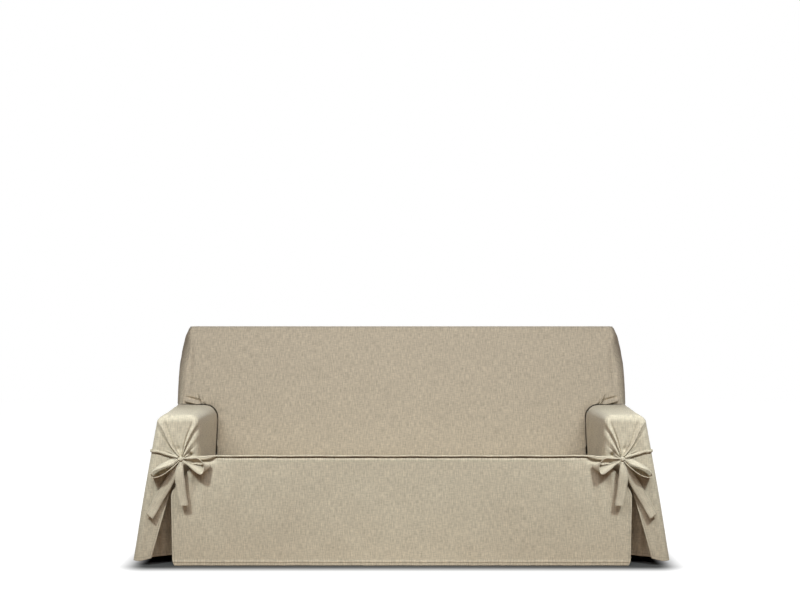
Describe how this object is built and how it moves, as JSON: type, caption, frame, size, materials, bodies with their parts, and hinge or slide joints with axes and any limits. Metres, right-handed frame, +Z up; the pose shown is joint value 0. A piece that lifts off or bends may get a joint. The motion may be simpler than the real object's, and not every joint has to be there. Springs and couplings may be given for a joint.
{
  "type": "sofa slipcover",
  "caption": "Loose fabric slipcover in the shape of a sofa, with a raked back, floor-length skirt and arm covers tied with bows over open pleats.",
  "frame": {"origin": "on the floor, in the middle of the cover's length and depth", "axes": "+X along the sofa's length to the sitter's left hand, which is the right side of the front view; +Y from the front skirt to the back; +Z up"},
  "size_m": [2.1946, 0.9499, 0.9574],
  "materials": {
    "cloth": "plain linen-look weave, matt",
    "ties": "ribbons of the same cloth, sewn double, matt"
  },
  "bodies": {
    "root": {"inside_back": "cloth", "back_top": "cloth", "outside_back": "cloth", "seat_panel": "cloth", "seat_piping": "cloth", "front_skirt": "cloth", "back_wing_right": "cloth", "back_wing_left": "cloth", "back_side_right": "cloth", "back_side_left": "cloth", "arm_cover_right": "cloth", "arm_cover_left": "cloth", "pleat_underlay_right": "cloth", "pleat_underlay_left": "cloth", "bow_knot_right": "ties", "bow_knot_left": "ties", "outer_strap_right": "ties", "outer_strap_left": "ties", "inner_strap_right": "ties", "inner_strap_left": "ties", "outer_loop_right": "ties", "outer_loop_left": "ties", "inner_loop_right": "ties", "inner_loop_left": "ties", "outer_tail_right": "ties", "outer_tail_left": "ties", "inner_tail_right": "ties", "inner_tail_left": "ties"}
  },
  "joints": []
}
